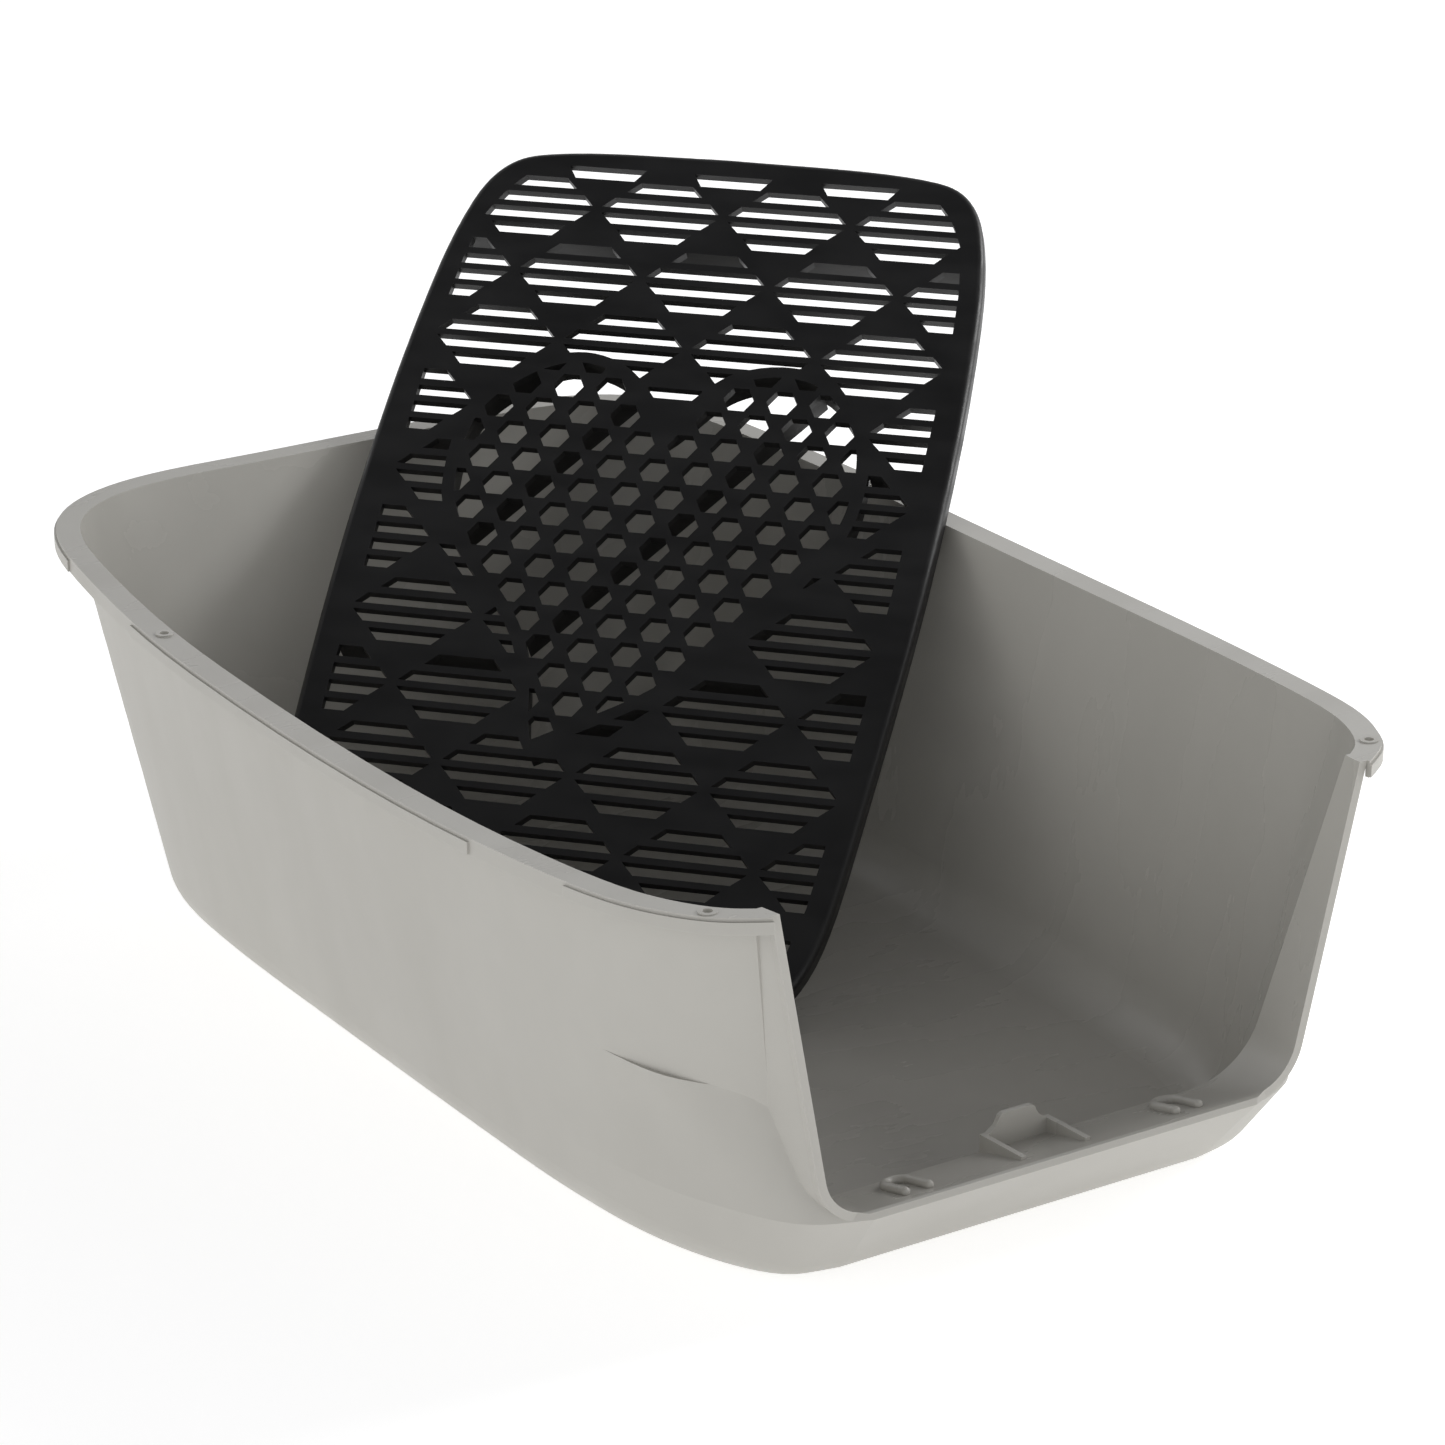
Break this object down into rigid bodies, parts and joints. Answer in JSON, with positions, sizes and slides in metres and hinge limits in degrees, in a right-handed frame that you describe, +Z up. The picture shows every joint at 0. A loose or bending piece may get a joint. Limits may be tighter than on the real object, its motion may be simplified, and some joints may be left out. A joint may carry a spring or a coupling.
{
  "type": "litter tray with loose grate",
  "caption": "Open-front cat litter tray in warm grey with a loose black slotted grate leaning inside.",
  "frame": {"origin": "centre of the tray's flat base, on its underside", "axes": "+Z up, +Y from the low entrance to the back wall, +X to the right when facing the entrance from the front"},
  "size_m": [0.4598, 0.6217, 0.2851],
  "materials": {
    "tray_plastic": "satin moulded",
    "grate_plastic": "satin moulded"
  },
  "bodies": {
    "tray": {"litter_tray": "tray_plastic"},
    "grate": {"litter_grate": "grate_plastic"}
  },
  "joints": [
    {"name": "grate_lift", "type": "slide", "parent": "tray", "child": "grate", "axis": [0, 0, 1], "range_m": [0, 0.25]}
  ]
}
